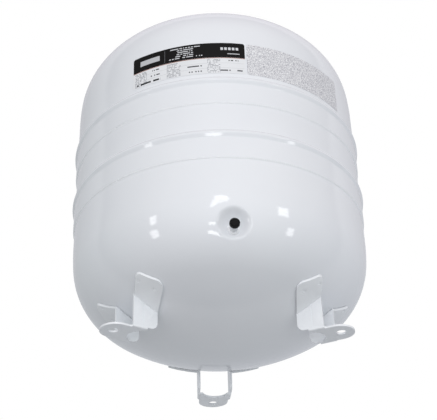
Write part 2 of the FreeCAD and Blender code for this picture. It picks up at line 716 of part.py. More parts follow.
# --- check and write ------------------------------------------------------------------------------
NODES = [
    "upper_shell", "middle_band", "lower_shell", "upper_seam_weld", "lower_seam_weld",
    "water_connection", "connection_weld", "diaphragm_rim", "diaphragm_wall", "diaphragm_crown",
    "diaphragm_clamp_ring", "valve_stub", "valve_stub_weld", "valve_stem", "valve_core_gasket",
    "valve_core_body", "valve_core_pin", "valve_core_seal", "valve_core_spring", "valve_cap",
    "valve_cap_seal", "foot_left", "foot_right", "foot_rear", "foot_weld_nuggets", "data_label",
    "grained_panel"]

doc.recompute()
for item in doc.Objects:
    if {"Invalid", "Error"} & set(item.State):
        raise RuntimeError(f"{item.Label} failed: {item.State}")
for name in NODES:
    piece = doc.getObjectsByLabel(name)[0].Shape
    if piece.isNull() or not piece.isValid() or not piece.Solids:
        raise RuntimeError(f"{name} is not a valid solid")
    piece.exportStep(f"parts/{name}.step")
    print(f"{name}: {len(piece.Solids)} solid, {piece.Volume:.0f} mm3")
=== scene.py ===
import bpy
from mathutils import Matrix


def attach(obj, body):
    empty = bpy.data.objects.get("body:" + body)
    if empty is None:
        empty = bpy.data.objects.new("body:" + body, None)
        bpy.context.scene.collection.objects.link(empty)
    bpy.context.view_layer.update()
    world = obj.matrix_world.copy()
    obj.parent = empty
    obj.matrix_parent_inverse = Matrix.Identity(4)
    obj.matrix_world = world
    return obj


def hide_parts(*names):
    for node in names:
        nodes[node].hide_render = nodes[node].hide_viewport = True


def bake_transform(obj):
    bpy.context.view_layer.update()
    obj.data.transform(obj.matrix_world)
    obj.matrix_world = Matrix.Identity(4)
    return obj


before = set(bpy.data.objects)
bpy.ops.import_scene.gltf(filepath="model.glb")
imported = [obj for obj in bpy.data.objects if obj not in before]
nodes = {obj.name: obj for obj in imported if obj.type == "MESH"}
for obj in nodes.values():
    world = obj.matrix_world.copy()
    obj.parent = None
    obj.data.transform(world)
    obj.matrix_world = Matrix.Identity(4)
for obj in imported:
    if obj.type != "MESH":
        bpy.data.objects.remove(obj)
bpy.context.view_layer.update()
import math
import bmesh
import bpy
import numpy as np
from mathutils import Matrix, Vector

# A standing expansion vessel in white enamel, seen from below its feet.
# Everything is in metres: the vessel's axis is Z, the floor is at 0 and the valve faces -Y.
scene = bpy.context.scene
print("frame loaded")

# Materials.


# an sRGB hex value as a linear colour
def linear(text):
    parts = [int(text[i:i + 2], 16) / 255 for i in (1, 3, 5)]
    return [v / 12.92 if v <= 0.04045 else ((v + 0.055) / 1.055) ** 2.4 for v in parts] + [1.0]


# adds one node, with its settings by property or socket and its links by socket. A link's source is an
# output, or a node for its first output
def add(tree, kind, settings=None, links=None):
    node = tree.nodes.new(kind)
    for name, value in (settings or {}).items():
        if isinstance(name, str) and hasattr(node, name):
            setattr(node, name, value)
        else:
            node.inputs[name].default_value = value
    for name, source in (links or {}).items():
        tree.links.new(getattr(source, "outputs", [source])[0], node.inputs[name])
    return node


# a new material: its tree, its coordinates in millimetres and its shader
def begin(name, fixed):
    made = bpy.data.materials.new(name)
    made.use_nodes = True
    tree = made.node_tree
    tree.nodes.clear()
    place = add(tree, "ShaderNodeTexCoord")
    scaled = add(tree, "ShaderNodeVectorMath", {"operation": "SCALE", "Scale": 1000.0},
                 {0: place.outputs["Object"]})
    shader = add(tree, "ShaderNodeBsdfPrincipled", fixed)
    add(tree, "ShaderNodeOutputMaterial", {}, {"Surface": shader})
    return made, tree, scaled.outputs[0], shader


# colour that drifts between two tones over a given size in millimetres
def mottled(tree, where, tones, size):
    noise = add(tree, "ShaderNodeTexNoise", {"Scale": 1 / size, "Detail": 3.0}, {"Vector": where})
    ramp = add(tree, "ShaderNodeMix", {"data_type": "RGBA"}, {0: noise.outputs["Fac"]})
    ramp.inputs[6].default_value = linear(tones[0])
    ramp.inputs[7].default_value = linear(tones[1])
    return ramp.outputs[2]


def rough(tree, where, low, high, size):
    noise = add(tree, "ShaderNodeTexNoise", {"Scale": 1 / size, "Detail": 2.0}, {"Vector": where})
    span = add(tree, "ShaderNodeMapRange", {"To Min": low, "To Max": high}, {"Value": noise.outputs["Fac"]})
    return span.outputs[0]


def bumped(tree, where, size, height):
    noise = add(tree, "ShaderNodeTexNoise", {"Scale": 1 / size, "Detail": 2.0}, {"Vector": where})
    bump = add(tree, "ShaderNodeBump", {"Strength": 1.0, "Distance": height / 1000},
               {"Height": noise.outputs["Fac"]})
    return bump.outputs["Normal"]


# colour, roughness and bump from noise of real sizes, all in millimetres
def surfaced(name, tones, drift, roughness, grain, height, fixed):
    made, tree, where, shader = begin(name, fixed)
    tree.links.new(mottled(tree, where, tones, drift), shader.inputs["Base Color"])
    tree.links.new(rough(tree, where, roughness[0], roughness[1], drift / 3), shader.inputs["Roughness"])
    tree.links.new(bumped(tree, where, grain, height), shader.inputs["Normal"])
    return made


finishes = {
    # stoved enamel on drawn sheet: glossy and slightly cool, with a faint orange peel of about 4 mm
    "white_enamel": surfaced("white stoved enamel", ("#e8ebef", "#edf0f3"), 60, (0.05, 0.08), 5.0, 0.016,
                             {"IOR": 1.5}),
    # the same enamel over the weld ripples, its colour painted lighter than the shell's to lift the shade on
    # the welds' sloping faces
    "painted_weld": surfaced("enamel over weld, painted lighter against shade", ("#eef1f4", "#f6f8fa"), 3, (0.06, 0.14), 0.8, 0.06,
                             {"IOR": 1.5}),
    # electroplated zinc on turned steel: bluish, with a fine lathe grain
    "zinc_plated_steel": surfaced("zinc plated turned steel", ("#a9adb2", "#c1c5c9"), 5, (0.26, 0.4), 0.5,
                                  0.01, {"Metallic": 1.0}),
    # moulded butyl rubber: matt, nearly black
    "butyl_rubber": surfaced("moulded butyl rubber", ("#17181a", "#232427"), 25, (0.6, 0.75), 0.6, 0.03,
                             {"IOR": 1.52}),
    # rolled steel left bare inside: grey mill scale
    "raw_steel": surfaced("bare rolled steel", ("#6f7275", "#85888c"), 8, (0.35, 0.5), 0.8, 0.02,
                          {"Metallic": 1.0}),
    # the vessel's enamel sprayed over the valve's sleeve: smooth and a shade greyer
    "painted_stub": surfaced("enamel on stub", ("#e6e9ed", "#eef1f4"), 4, (0.08, 0.16), 0.9, 0.02,
                             {"IOR": 1.5}),
    # turned brass, slightly dull from handling
    "brass": surfaced("turned brass", ("#b9923f", "#cba85a"), 2, (0.22, 0.36), 0.3, 0.01, {"Metallic": 1.0}),
    # moulded nitrile rubber: matt black
    "black_seal": surfaced("moulded nitrile rubber", ("#141414", "#1f1f20"), 2, (0.5, 0.65), 0.3, 0.02,
                           {"IOR": 1.5}),
    # cold drawn wire: a clean, bright grey
    "spring_steel": surfaced("drawn spring wire", ("#9b9ea1", "#b4b7ba"), 1, (0.2, 0.3), 0.2, 0.004,
                             {"Metallic": 1.0}),
    # moulded polyethylene: near black, satin with a fine spark-eroded grain
    "black_plastic": surfaced("moulded black polyethylene", ("#050506", "#0d0d0e"), 2, (0.3, 0.42), 0.35,
                              0.02, {"IOR": 1.51, "Specular IOR Level": 0.12}),
    # enamel as on the shell, on bent sheet: as glossy, with a finer orange peel; its colour painted lighter
    # than the shell's to lift the shade on the legs
    "foot_enamel": surfaced("white enamel on bent sheet, painted lighter against shade", ("#eceff2", "#f3f6f8"), 18, (0.08, 0.14), 2.2,
                            0.016, {"IOR": 1.5}),
}


# the label's print, in millimetres from its lower left corner: areas as left, right, low and high. The
# maker's field is a blank pale plate, and every word is a dash. Letters are pitch of lines, height, word
# length and share of gaps
labelPrint = {
    "band": (-1, 155, 26.2, 52), "divider": (47.0, 47.5, 28.0, 48.0), "rule": (-1, 155, 25.2, 26.0),
    "plate": (11, 40, 34.5, 43),
    "address": (20, 11, 10, 12, 13, 23), "middle": 75, "addressTop": 46.4,  # half widths of centred lines
    "addressLetters": (3.2, 1.4, 1.3, 0.25),
    "blocks": (122, 127, 132, 137, 142), "blockWidth": 3.4, "blockRise": (39.0, 43.4),
    "note": (131, 147, 32.0, 33.4), "noteLetters": (2.0, 1.4, 1.4, 0.2),
    "rowLines": (8.6, 16.9), "rowEnds": (1.6, 152.3), "rowThick": 0.3,
    "captions": ((3, 18), (50, 19), (104, 17)), "captionRise": (1.6, 24.4),  # left and width
    "captionLetters": (2.05, 1.0, 1.25, 0.42),
    "values": ((29, 39, 20.0, 1.9, 1.5), (27, 40, 11.6, 2.0, 1.6), (78, 97, 12.4, 2.1, 1.7),
               (80, 98, 3.6, 2.0, 1.7), (130, 145, 20.4, 1.9, 1.5), (121, 135, 3.8, 2.1, 1.7),
               (143, 150, 3.8, 2.1, 1.6)),  # left, right, low, letter height, word
    "bold": (6, 41, 2.6, 5.4), "boldLetters": (6.0, 2.8, 1.7, 0.1),
    "tones": {"band": "#0b0b0c", "divider": "#77797c", "rule": "#9a6048", "plate": "#c2c4c7",
              "address": "#d6d8db", "blocks": "#d9dbde", "note": "#c6c8cb", "rowLine": "#c3c5c9",
              "captions": "#9a9da2", "values": "#55575b", "bold": "#2c2d30"}}


# a printed polyester film, slightly glossy: position from the print's own map
def printedLabel():
    made, tree, where, shader = begin("printed polyester label", {"IOR": 1.49, "Specular IOR Level": 0.12})
    chart = add(tree, "ShaderNodeUVMap", {"uv_map": "print"})
    spot = add(tree, "ShaderNodeSeparateXYZ", {}, {"Vector": chart})
    x, y = spot.outputs["X"], spot.outputs["Y"]

    # one where a value lies between two levels, else nothing
    def within(value, low, high):
        above = add(tree, "ShaderNodeMath", {"operation": "GREATER_THAN", 1: low}, {0: value})
        beneath = add(tree, "ShaderNodeMath", {"operation": "LESS_THAN", 1: high}, {0: value})
        return add(tree, "ShaderNodeMath", {"operation": "MULTIPLY"}, {0: above, 1: beneath})

    def area(left, right, low, high):
        return add(tree, "ShaderNodeMath", {"operation": "MULTIPLY"},
                   {0: within(x, left, right), 1: within(y, low, high)})

    # lines of words, as dashes whose lengths vary by line and column: a dash is where the height within a
    # line's pitch is under the letters' height and the line and column's chance is over the share of gaps
    def lines(left, right, low, high, pitch, height, word, gap, seed=0.0):
        rise = add(tree, "ShaderNodeMath", {"operation": "SUBTRACT", 1: low}, {0: y})
        step = add(tree, "ShaderNodeMath", {"operation": "DIVIDE", 1: pitch}, {0: rise})
        count = add(tree, "ShaderNodeMath", {"operation": "FLOOR"}, {0: step})
        row = add(tree, "ShaderNodeMath", {"operation": "ADD", 1: seed}, {0: count})
        reach = add(tree, "ShaderNodeMath", {"operation": "DIVIDE", 1: word}, {0: x})
        column = add(tree, "ShaderNodeMath", {"operation": "FLOOR"}, {0: reach})
        key = add(tree, "ShaderNodeCombineXYZ", {}, {"X": row, "Y": column})
        chance = add(tree, "ShaderNodeTexWhiteNoise", {"noise_dimensions": "2D"}, {"Vector": key})
        part = add(tree, "ShaderNodeMath", {"operation": "FRACT"}, {0: step})
        inRow = add(tree, "ShaderNodeMath", {"operation": "LESS_THAN", 1: height / pitch}, {0: part})
        written = add(tree, "ShaderNodeMath", {"operation": "GREATER_THAN", 1: gap},
                      {0: chance.outputs["Value"]})
        dash = add(tree, "ShaderNodeMath", {"operation": "MULTIPLY"}, {0: inRow, 1: written})
        return add(tree, "ShaderNodeMath", {"operation": "MULTIPLY"},
                   {0: dash, 1: area(left, right, low, high)})

    def laid(below, mask, colour):
        node = add(tree, "ShaderNodeMix", {"data_type": "RGBA"}, {0: mask, 6: below})
        node.inputs[7].default_value = linear(colour)
        return node.outputs[2]

    colour = mottled(tree, where, ("#e4e6e8", "#eceef0"), 30)
    p = labelPrint
    tones = p["tones"]
    header = [(area(*p[name]), tones[name]) for name in ("band", "divider", "rule", "plate")]
    pitch, letter = p["addressLetters"][:2]
    for k, half in enumerate(p["address"]):
        low = p["addressTop"] - pitch * k
        header += [(lines(p["middle"] - half, p["middle"] + half, low, low + letter, *p["addressLetters"],
                          10 * k), tones["address"])]
    header += [(area(left, left + p["blockWidth"], *p["blockRise"]), tones["blocks"]) for left in p["blocks"]]
    header += [(lines(*p["note"], *p["noteLetters"]), tones["note"])]
    rows = [(area(*p["rowEnds"], level, level + p["rowThick"]), tones["rowLine"]) for level in p["rowLines"]]
    rows += [(lines(left, left + wide, *p["captionRise"], *p["captionLetters"]), tones["captions"])
             for left, wide in p["captions"]]
    rows += [(lines(left, right, low, low + high, 9.0, high, word, 0.25, left), tones["values"])
             for left, right, low, high, word in p["values"]]
    rows += [(lines(*p["bold"], *p["boldLetters"]), tones["bold"])]
    for mask, tone in header + rows:
        colour = laid(colour, mask, tone)
    tree.links.new(colour, shader.inputs["Base Color"])
    tree.links.new(rough(tree, where, 0.25, 0.34, 8), shader.inputs["Roughness"])
    tree.links.new(bumped(tree, where, 3.0, 0.008), shader.inputs["Normal"])
    return made


# embossed film: grey, its colour painted with bright specks of about 1.4 mm as painted glints where its grain
# would catch the light; the same grain also bumps it
panelGrain = {"scale": 0.75, "low": 0.36, "high": 0.64, "tones": ("#b3b4ba", "#f4f5f6"), "height": 0.08}


def speckledFilm():
    made, tree, where, shader = begin("embossed grey film",
                                      {"IOR": 1.49, "Roughness": 0.4, "Specular IOR Level": 0.3})
    grain = add(tree, "ShaderNodeTexNoise", {"Scale": panelGrain["scale"], "Detail": 1.0}, {"Vector": where})
    span = add(tree, "ShaderNodeMapRange", {"From Min": panelGrain["low"], "From Max": panelGrain["high"]},
               {"Value": grain.outputs["Fac"]})
    # the pale end of this mix is painted highlight, standing in for the grain's glints
    tone = add(tree, "ShaderNodeMix", {"data_type": "RGBA"}, {0: span})
    tone.inputs[6].default_value = linear(panelGrain["tones"][0])
    tone.inputs[7].default_value = linear(panelGrain["tones"][1])
    bump = add(tree, "ShaderNodeBump", {"Strength": 1.0, "Distance": panelGrain["height"] / 1000},
               {"Height": grain.outputs["Fac"]})
    tree.links.new(tone.outputs[2], shader.inputs["Base Color"])
    tree.links.new(bump.outputs["Normal"], shader.inputs["Normal"])
    return made


finishes["printed_label"] = printedLabel()
finishes["grained_panel"] = speckledFilm()

# which finish each node has
nodeFinish = {
    "upper_shell": "white_enamel", "middle_band": "white_enamel", "lower_shell": "white_enamel",
    "upper_seam_weld": "painted_weld", "lower_seam_weld": "painted_weld",
    "water_connection": "zinc_plated_steel", "connection_weld": "painted_weld",
    "diaphragm_rim": "butyl_rubber", "diaphragm_wall": "butyl_rubber", "diaphragm_crown": "butyl_rubber",
    "diaphragm_clamp_ring": "raw_steel", "valve_stub": "painted_stub", "valve_stub_weld": "painted_weld",
    "valve_stem": "painted_stub", "valve_core_body": "brass", "valve_core_pin": "brass",
    "valve_core_gasket": "black_seal", "valve_core_seal": "black_seal", "valve_cap_seal": "black_seal",
    "valve_core_spring": "spring_steel", "valve_cap": "black_plastic",
    "foot_left": "foot_enamel", "foot_right": "foot_enamel", "foot_rear": "foot_enamel",
    "foot_weld_nuggets": "painted_weld", "data_label": "printed_label", "grained_panel": "grained_panel"}
for name, finish in nodeFinish.items():
    slots = nodes[name].data.materials
    for i in range(len(slots)):
        slots[i] = finishes[finish]
    if not len(slots):
        slots.append(finishes[finish])
print("materials made")

# Building surfaces.


# the faces of a grid of points [i, j]: the j direction always closes on itself, and i does if looped.
# flipped turns the faces round so that they point outwards
def gridFaces(rows, columns, looped=True, flipped=False):
    count = rows if looped else rows - 1
    i, j = np.meshgrid(np.arange(count), np.arange(columns), indexing="ij")
    nextRow, nextColumn = (i + 1) % rows, (j + 1) % columns
    quads = np.stack([i * columns + j, i * columns + nextColumn, nextRow * columns + nextColumn,
                      nextRow * columns + j], axis=-1).reshape(-1, 4)
    return quads[:, ::-1] if flipped else quads


def gridPiece(name, points, finish, looped=True, flipped=False, **more):
    faces = gridFaces(points.shape[0], points.shape[1], looped, flipped)
    return meshPiece(name, points.reshape(-1, 3), faces, finish, **more)


# puts a mesh together, merges points that meet at poles, and hands the piece to the body it rides on,
# or to none where a blend follows
def meshPiece(name, points, quads, finish, node, body="root", sharp=35, prints=None):
    mesh = bpy.data.meshes.new(name)
    mesh.vertices.add(len(points))
    mesh.vertices.foreach_set("co", np.asarray(points, dtype=np.float32).ravel())
    mesh.loops.add(quads.size)
    mesh.loops.foreach_set("vertex_index", quads.astype(np.int32).ravel())
    mesh.polygons.add(len(quads))
    mesh.polygons.foreach_set("loop_start", np.arange(0, quads.size, 4, dtype=np.int32))
    mesh.update(calc_edges=True)
    if prints is not None:
        chart = mesh.uv_layers.new(name="print")
        chart.data.foreach_set("uv", prints[quads].astype(np.float32).ravel())
    work = bmesh.new()
    work.from_mesh(mesh)
    bmesh.ops.remove_doubles(work, verts=work.verts, dist=1e-7)
    work.to_mesh(mesh)
    work.free()
    mesh.polygons.foreach_set("use_smooth", np.ones(len(mesh.polygons), dtype=bool))
    mesh.set_sharp_from_angle(angle=math.radians(sharp))
    piece = bpy.data.objects.new(name, mesh)
    scene.collection.objects.link(piece)
    return settled(piece, finish, node, body)


def settled(piece, finish, node, body="root"):
    piece.data.materials.clear()
    piece.data.materials.append(finishes[finish])
    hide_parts(node)
    if body:
        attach(piece, body)
    return piece


# points along an arc of a profile: centre, radius and the angles of its ends, counted from outwards to up
def arc(centre, radius, first, last, steps):
    angle = np.radians(np.linspace(first, last, steps))
    return np.stack([centre[0] + radius * np.cos(angle), centre[1] + radius * np.sin(angle)], axis=1)


def run(first, last, steps):
    share = np.linspace(0, 1, steps)[:, None]
    return np.asarray(first) * (1 - share) + np.asarray(last) * share


# drops points that repeat the one before
def chain(*parts):
    line = np.concatenate(parts)
    gaps = np.linalg.norm(np.diff(line, axis=0), axis=1)
    return line[np.concatenate([[True], gaps > 1e-9])]


# turns a profile of radius and height (mm) about Z: [profile, azimuth, xyz] in metres.
# swell is added to the radius
def spun(profile, azimuths, swell=0):
    radius, height = profile[:, 0][:, None] + swell, profile[:, 1][:, None]
    return np.stack([radius * np.sin(azimuths), -radius * np.cos(azimuths),
                     height + 0 * azimuths], axis=-1) / 1000


# turns a profile of radius and distance out (mm) about the valve's axis
def spunOnValve(profile, azimuths, swell=0):
    radius, out = profile[:, 0][:, None] + swell, profile[:, 1][:, None]
    return np.stack([radius * np.sin(azimuths), -out + 0 * azimuths,
                     valve["height"] + radius * np.cos(azimuths)], axis=-1) / 1000


def around(steps):
    return np.linspace(-np.pi, np.pi, steps, endpoint=False)


# a rounded screw thread cut into a profile: depth times a raised cosine of height over pitch less the turn,
# fading in and out over a pitch at both ends. hand is 1 about Z and -1 about the valve's axis
def threadCut(profile, azimuths, low, high, pitch, depth, hand=1):
    height = profile[:, 1][:, None]
    fade = np.clip(np.minimum(height - low, high - height) / pitch, 0, 1)
    phase = 2 * np.pi * height / pitch - hand * azimuths
    return -depth * fade * (0.5 - 0.5 * np.cos(phase))


# ripples of a weld round a seam: rounded scallops whose pitch wanders a little
def weldRipple(azimuths, count, height, seed):
    chance = np.random.default_rng(seed)
    wander = sum(chance.uniform(0.1, 0.5) * np.sin(k * azimuths + chance.uniform(0, 6.28))
                 for k in range(3, 9))
    return height * np.abs(np.sin(count * azimuths / 2 + wander))


# where a seam's weld starts and stops: hollows and lumps, each a bell with its azimuth, width (degrees) and
# height
def weldLaps(azimuths, laps):
    return sum(height * np.exp(-((np.degrees(azimuths) - place) / width) ** 2)
               for place, width, height in laps)


# Shells.
shell = {
    "wall": 199.5, "sheet": 1.5, "shoulder": 295, "shoulderAngle": 5.5, "knuckle": 95, "knuckleAngle": 58.5,
    "lowerTangent": 148.382, "lowerSeam": 179.382, "upperSeam": 263.082, "upperTangent": 353.882, "lap": 21.5,
    "crest": 35, "beadTop": 42.5,  # heights over a seam
    "slope": 28, "proud": 4, "skirtRadius": 201.1, "skirtFillet": 3, "crestRound": 4, "beadFillet": 4,
    "upperFoot": 308, "bandFoot": 226, "insideRise": 2,  # where the wall's straight run starts over a bead
    "hole": 12.6, "bottomStop": 0.05, "turns": 320}


# the pressed end beyond a tangent line: a wide shoulder, a knuckle and a dome, as one run of arcs
# inset by a depth and running outwards (up is 1 for the top end, -1 for the bottom), stopping at a radius
def pressedEnd(tangent, up, depth, stop, steps):
    s = shell
    bend, edge = s["shoulderAngle"], s["knuckleAngle"]
    shoulderCentre = s["wall"] - s["shoulder"]
    atBend = np.array([math.cos(math.radians(bend)), math.sin(math.radians(bend))])
    atEdge = np.array([math.cos(math.radians(edge)), math.sin(math.radians(edge))])
    knuckleCentre = np.array([shoulderCentre, 0]) + s["shoulder"] * atBend - s["knuckle"] * atBend
    last = knuckleCentre + s["knuckle"] * atEdge
    domeRadius = last[0] / math.cos(math.radians(edge))
    domeCentre = last[1] - domeRadius * math.sin(math.radians(edge))
    finish = 90 - math.degrees(math.asin(stop / (domeRadius - depth)))
    line = chain(arc((shoulderCentre, 0), s["shoulder"] - depth, 0, bend, steps[0]),
                 arc(knuckleCentre, s["knuckle"] - depth, bend, edge, steps[1]),
                 arc((0, domeCentre), domeRadius - depth, edge, finish, steps[2]))
    return np.stack([line[:, 0], tangent + up * line[:, 1]], axis=1)


# the swelling over a seam: skirt, hollow blend, straight flare, rounded crest, falling arc and blend into
# the wall
def seamBead(seam, depth, fine):
    s = shell
    crest = s["wall"] + s["proud"]
    lean = math.radians(s["slope"])
    # the flare's upper end is on the crest's round, and its lower end on the hollow blend
    upperEnd = (crest - s["crestRound"] * (1 - math.cos(lean)), s["crest"] - s["crestRound"] * math.sin(lean))
    lowerRadius = s["skirtRadius"] + s["skirtFillet"] * (1 - math.cos(lean))
    skirtTop = upperEnd[1] - (upperEnd[0] - lowerRadius) / math.tan(lean) - s["skirtFillet"] * math.sin(lean)
    fall = s["beadTop"] - s["crest"]
    upper = (fall ** 2 + s["proud"] ** 2) / (2 * s["proud"])
    high = math.degrees(math.asin(fall / upper))
    fallingRadius = upper - s["beadFillet"]
    n = 2 if not fine else 1
    line = chain(
        run((s["skirtRadius"] - depth, 0), (s["skirtRadius"] - depth, skirtTop), 6 // n),
        arc((s["skirtRadius"] + s["skirtFillet"], skirtTop), s["skirtFillet"] + depth, 180, 180 - s["slope"],
            6 // n),
        arc((crest - s["crestRound"], s["crest"]), s["crestRound"] - depth, -s["slope"], 0, 8 // n),
        arc((crest - fallingRadius, s["crest"]), fallingRadius - depth, 0, high, 14 // n),
        arc((s["wall"] + s["beadFillet"], s["beadTop"]), s["beadFillet"] + depth, 180 + high, 180, 8 // n))
    return line + np.array([0, seam])


sheet, wall = shell["sheet"], shell["wall"]
upperOutside = chain(seamBead(shell["upperSeam"], 0, True),
                     run((wall, shell["upperFoot"]), (wall, shell["upperTangent"]), 14),
                     pressedEnd(shell["upperTangent"], 1, 0, shell["hole"], (10, 30, 40)))
upperInside = chain(seamBead(shell["upperSeam"], sheet, False),
                    run((wall - sheet, shell["upperFoot"] + shell["insideRise"]),
                        (wall - sheet, shell["upperTangent"]), 4),
                    pressedEnd(shell["upperTangent"], 1, sheet, shell["hole"], (4, 12, 14)))
gridPiece("upper_shell_skin", spun(chain(upperOutside, upperInside[::-1]), around(shell["turns"])),
          "white_enamel", node="upper_shell")

bandRim = shell["upperSeam"] + shell["lap"]
bandOutside = chain(seamBead(shell["lowerSeam"], 0, True),
                    run((wall, shell["bandFoot"]), (wall, bandRim), 12))
bandInside = chain(seamBead(shell["lowerSeam"], sheet, False),
                   run((wall - sheet, shell["bandFoot"] + shell["insideRise"]), (wall - sheet, bandRim), 4))
gridPiece("middle_band_skin", spun(chain(bandOutside, bandInside[::-1]), around(shell["turns"])),
          "white_enamel", node="middle_band")

# the valve's pocket: a ball of a radius and centre, pressed in along a tilted axis, with a soft rim.
# The grid is finer between two heights and within an azimuth either side
dish = {"soft": 4.5, "tilt": 23.718, "centre": (206.781, 83.871), "sphere": 26.722,
        "low": 58, "high": 122, "halfWidth": 10.5}


# presses the valve's pocket into a shell: each point goes inwards along the pocket's own axis to a ball.
# The depth to the ball is cut off at nothing, and (depth + soft)^2 / 4 soft rounds that corner, the rim
def pressDish(points, depth):
    tilt = math.radians(dish["tilt"])
    inward = np.array([0, math.cos(tilt), math.sin(tilt)])
    centre = np.array([0, -dish["centre"][0], dish["centre"][1]]) / 1000
    away = points - centre
    along = away @ inward
    inside = (dish["sphere"] + depth) ** 2 / 1e6 - (away ** 2).sum(axis=-1) + along ** 2
    reach = np.where(inside > 0, -along + np.sqrt(np.maximum(inside, 0)), -0.1)
    near = points[..., 1] < 0
    soft = dish["soft"] / 1000
    rounded = np.maximum(reach + soft, 0) ** 2 / (4 * soft)
    push = np.where(near, np.where(reach > soft, reach, rounded), 0)
    return points + push[..., None] * inward


# azimuths with closer lines round the pocket
def dishAzimuths():
    half = dish["halfWidth"]
    return np.radians(np.concatenate([np.linspace(-180, -half, 120, endpoint=False),
                                      np.linspace(-half, half, 84, endpoint=False),
                                      np.linspace(half, 180, 120, endpoint=False)]))


# evens out a profile so that its steps are short between two heights and longer elsewhere
def respaced(line, low, high, short, long):
    lengths = np.concatenate([[0], np.cumsum(np.linalg.norm(np.diff(line, axis=0), axis=1))])
    fine = np.linspace(0, lengths[-1], 6000)
    heights = np.interp(fine, lengths, line[:, 1])
    density = np.where((heights > low) & (heights < high), 1 / short, 1 / long)
    total = np.concatenate([[0], np.cumsum((density[1:] + density[:-1]) / 2 * np.diff(fine))])
    places = np.interp(np.linspace(0, total[-1], int(total[-1]) + 2), total, fine)
    return np.stack([np.interp(places, lengths, line[:, k]) for k in (0, 1)], axis=1)


shellRim = shell["lowerSeam"] + shell["lap"]
lowerOutside = chain(pressedEnd(shell["lowerTangent"], -1, 0, shell["bottomStop"], (60, 300, 300))[::-1],
                     run((wall, shell["lowerTangent"]), (wall, shellRim), 20))
lowerInside = chain(pressedEnd(shell["lowerTangent"], -1, sheet, shell["bottomStop"], (60, 300, 300))[::-1],
                    run((wall - sheet, shell["lowerTangent"]), (wall - sheet, shellRim), 20))
lowerOutside = respaced(lowerOutside, dish["low"], dish["high"], 1.0, 5.0)
lowerInside = respaced(lowerInside, dish["low"], dish["high"], 2.0, 12.0)
outer = pressDish(spun(lowerOutside, dishAzimuths()), 0)
inner = pressDish(spun(lowerInside, dishAzimuths()), sheet)
# each pole is closed by a last ring drawn together in one point
lids = [np.repeat(side[:1].mean(axis=1, keepdims=True), side.shape[1], axis=1) for side in (outer, inner)]
gridPiece("lower_shell_skin", np.concatenate([lids[0], outer, inner[::-1], lids[1]]), "white_enamel",
          looped=False, node="lower_shell")
print("shells made")

# Seam welds.
seamWeld = {"leg": 2.6, "crown": 0.35, "sunk": 0.05, "ripples": 450, "ripple": 0.24, "drops": 46,
            "dropRadius": (0.25, 0.6), "dropHeight": 0.6, "dropsLow": 14, "dropsHigh": 2, "steps": 3600,
            "laps": {"upper_seam_weld": ((-45.8, 0.35, -0.8), (-44.5, 0.9, -0.5), (-42.5, 0.5, -0.7),
                                         (-40.2, 0.8, -0.45), (-33.0, 0.4, 0.4)),
                     "lower_seam_weld": ((-44.6, 0.3, -1.0), (-43.9, 0.25, 0.5), (-41.2, 0.5, 0.5))}}


# small round drops of spatter, painted over: balls flattened against the wall, as one grid [drop, i, j]
def spatter(seed, count, radius, low, high):
    chance = np.random.default_rng(seed)
    azimuth = chance.uniform(-np.pi, np.pi, count)[:, None, None]
    height = chance.uniform(low, high, count)[:, None, None]
    size = chance.uniform(*seamWeld["dropRadius"], count)[:, None, None]
    tips, ways = np.linspace(-np.pi / 2, np.pi / 2, 5), np.linspace(0, 2 * np.pi, 8, endpoint=False)
    tip, way = np.meshgrid(tips, ways, indexing="ij")
    along, rise = size * np.cos(tip) * np.cos(way), size * np.cos(tip) * np.sin(way)
    place = radius + seamWeld["dropHeight"] * size * np.sin(tip)
    x = place * np.sin(azimuth) + along * np.cos(azimuth)
    y = -place * np.cos(azimuth) + along * np.sin(azimuth)
    points = np.stack([x, y, height + rise], axis=-1) / 1000
    faces = gridFaces(len(tips), len(ways), looped=False, flipped=True)
    offsets = (np.arange(count) * len(tips) * len(ways))[:, None, None]
    return points.reshape(-1, 3), (faces[None] + offsets).reshape(-1, 4)


# the weld fills the step under a skirt: a slope from the skirt's lower edge to the wall, a little crowned
# and hollowed between its ripples
for name, seam, seed in (("upper_seam_weld", shell["upperSeam"], 3),
                         ("lower_seam_weld", shell["lowerSeam"], 8)):
    azimuths = around(seamWeld["steps"])
    base = wall - seamWeld["sunk"]
    along = np.linspace(0, 1, 8)
    edge = shell["skirtRadius"] - 0.03
    line = np.stack([base + (edge - base) * along + seamWeld["crown"] * np.sin(np.pi * along),
                     seam - seamWeld["leg"] * (1 - along) + 0.02 * along], axis=1)
    profile = np.concatenate([line, [[base, seam + 0.02]]])
    share = np.concatenate([np.sin(np.pi * along), [0]])[:, None]
    swell = share * (weldLaps(azimuths, seamWeld["laps"][name])
                     - weldRipple(azimuths, seamWeld["ripples"], seamWeld["ripple"], seed))
    points = spun(profile, azimuths, swell).reshape(-1, 3)
    drops, dropFaces = spatter(seed, seamWeld["drops"], wall, seam - seamWeld["dropsLow"],
                               seam - seamWeld["dropsHigh"])
    faces = np.concatenate([gridFaces(len(profile), seamWeld["steps"]), dropFaces + len(points)])
    meshPiece(name + "_bead", np.concatenate([points, drops]), faces, "painted_weld", node=name, sharp=60)
print("seams made")

# Water connection.
connection = {"foot": 495.463, "threadFoot": 502.263, "top": 519.263, "radius": 13.2, "relief": 0.6,
              "bore": 10.0, "pitch": 1.814, "cut": 1.16, "chamfer": 1.2, "innerChamfer": 0.4, "ease": 0.3}
c = connection
shank = c["radius"] - c["relief"]
easeLow, easeHigh = c["threadFoot"] - c["ease"], c["threadFoot"] + c["ease"]
outside = chain(run((shank, c["foot"]), (shank, easeLow), 4),
                run((shank, easeLow), (c["radius"], easeHigh), 3),
                run((c["radius"], easeHigh), (c["radius"], c["top"] - c["chamfer"]), 90),
                run((c["radius"], c["top"] - c["chamfer"]), (c["radius"] - c["chamfer"], c["top"]), 6))
inside = chain(run((c["bore"] + c["innerChamfer"], c["top"]), (c["bore"], c["top"] - c["innerChamfer"]), 3),
               run((c["bore"], c["top"] - c["innerChamfer"]), (c["bore"], c["foot"]), 8))
profile = chain(outside, inside)
azimuths = around(128)
